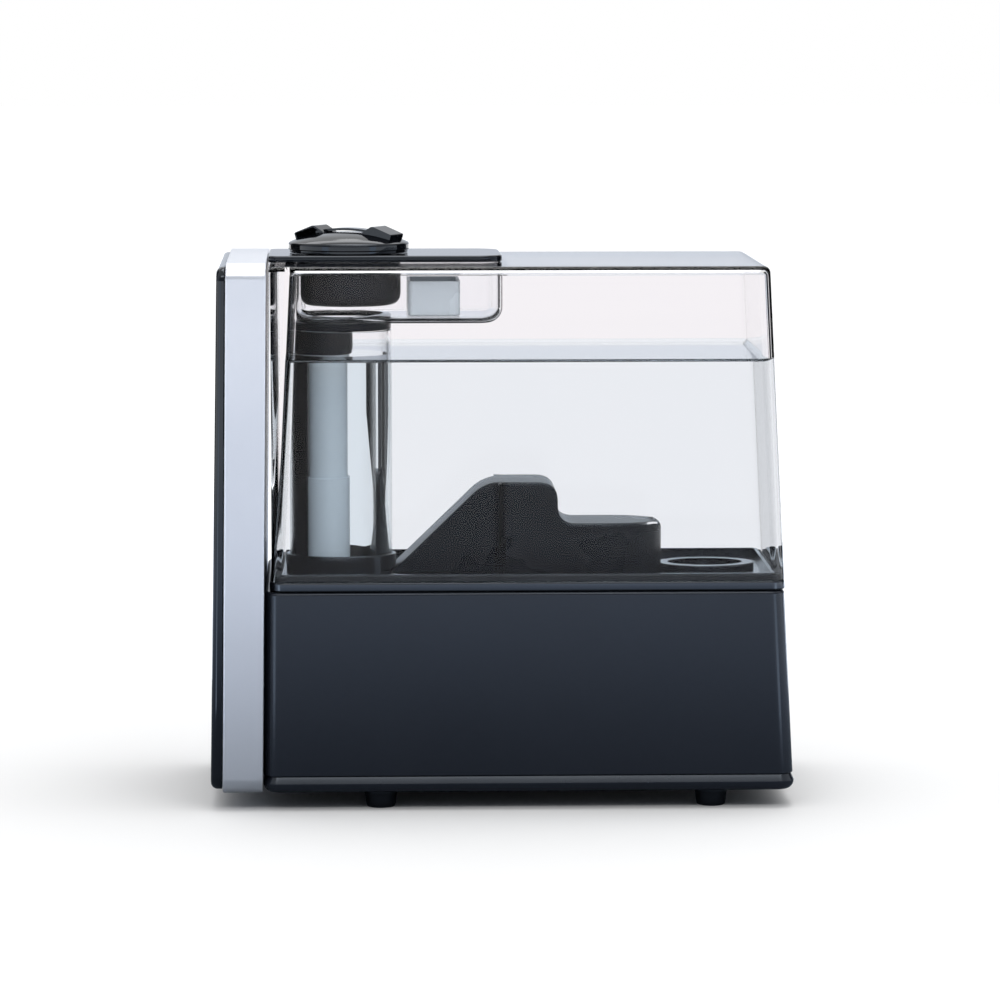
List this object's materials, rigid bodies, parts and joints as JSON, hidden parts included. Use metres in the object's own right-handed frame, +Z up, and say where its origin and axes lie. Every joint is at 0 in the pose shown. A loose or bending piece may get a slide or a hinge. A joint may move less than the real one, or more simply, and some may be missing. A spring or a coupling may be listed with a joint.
{
  "type": "cool mist humidifier",
  "caption": "Cool mist humidifier: a clear lift-off water tank on a black base behind a leaning control column, with a turning mist nozzle in its lid.",
  "frame": {"origin": "centre of the footprint, on the surface that the feet stand on", "axes": "+Z up; -X is the front, where the control panel is; +Y points away from the side shown in the picture"},
  "size_m": [0.2929, 0.15, 0.2895],
  "materials": {
    "base_black": "satin-gloss blue-black moulded plastic",
    "gloss_black": "high gloss",
    "matte_black": "fine matt texture",
    "foot_black": "gloss",
    "silver": "satin silver lacquer",
    "clear": "clear, polished",
    "smoke": "frosted, blue-grey, translucent",
    "rubber": "matt",
    "white_plastic": "matt",
    "steel": "brushed",
    "aluminium": "plain extruded",
    "brass": "plain",
    "ceramic": "fired",
    "circuit": "solder-masked board"
  },
  "bodies": {
    "base": {"base_housing": "base_black", "bottom_cover": "base_black", "foot_1": "foot_black", "foot_2": "foot_black", "foot_3": "foot_black", "foot_4": "foot_black", "cover_screw_1": "steel", "cover_screw_2": "steel", "cover_screw_3": "steel", "cover_screw_4": "steel", "column_screw_1": "steel", "column_screw_2": "steel", "silver_frame": "silver", "front_panel": "gloss_black", "column_core": "matte_black", "display_board": "circuit", "display_module": "matte_black", "touch_spring_1": "steel", "touch_spring_2": "steel", "touch_spring_3": "steel", "touch_spring_4": "steel", "water_basin": "matte_black", "basin_gasket": "rubber", "transducer_seal": "rubber", "transducer_disc": "ceramic", "transducer_ring": "brass", "driver_board": "circuit", "heat_sink": "aluminium", "power_board": "circuit", "transformer": "brass", "power_socket": "matte_black", "blower_housing": "matte_black", "blower_motor": "steel", "air_duct": "matte_black", "float_keeper": "matte_black"},
    "fan": {"impeller": "white_plastic", "motor_shaft": "steel"},
    "float": {"float_ring": "white_plastic"},
    "tank": {"tank_shell": "clear", "tank_bottom": "matte_black", "mist_hood": "matte_black", "tank_seal": "rubber", "chimney_tube": "clear", "chimney_gasket": "rubber", "mist_tube": "smoke", "mist_sleeve": "smoke", "mist_collar": "matte_black", "mist_bowl": "clear", "scent_tray": "smoke"},
    "cap": {"fill_cap": "matte_black", "cap_seal": "rubber"},
    "valve": {"valve_plunger": "white_plastic", "valve_seal": "rubber", "valve_spring": "steel"},
    "lid": {"lid_plate": "gloss_black", "lid_skirt": "matte_black"},
    "nozzle": {"nozzle_disc": "gloss_black", "nozzle_hood": "gloss_black", "nozzle_clip": "matte_black"}
  },
  "joints": [
    {"name": "tank_lift", "type": "slide", "parent": "base", "child": "tank", "axis": [0, 0, 1], "range_m": [0, 0.2]},
    {"name": "lid_lift", "type": "slide", "parent": "tank", "child": "lid", "axis": [0, 0, 1], "range_m": [0, 0.06]},
    {"name": "nozzle_turn", "type": "hinge", "parent": "lid", "child": "nozzle", "pos_m": [-0.0762, 0, 0.28], "axis": [0, 0, 1], "continuous": true},
    {"name": "fill_cap_turn", "type": "hinge", "parent": "tank", "child": "cap", "pos_m": [0.105, 0, 0.1], "axis": [0, 0, 1], "range_deg": [0, 90]},
    {"name": "valve_push", "type": "slide", "parent": "cap", "child": "valve", "axis": [0, 0, 1], "range_m": [0, 0.002], "stiffness_N_per_m": 80, "springref_m": -0.006, "deforming": ["valve_spring"]},
    {"name": "float_rise", "type": "slide", "parent": "base", "child": "float", "axis": [0, 0, 1], "range_m": [0, 0.008]},
    {"name": "fan_spin", "type": "hinge", "parent": "base", "child": "fan", "pos_m": [-0.045, 0.023, 0.036], "axis": [0, 0, 1], "continuous": true}
  ]
}
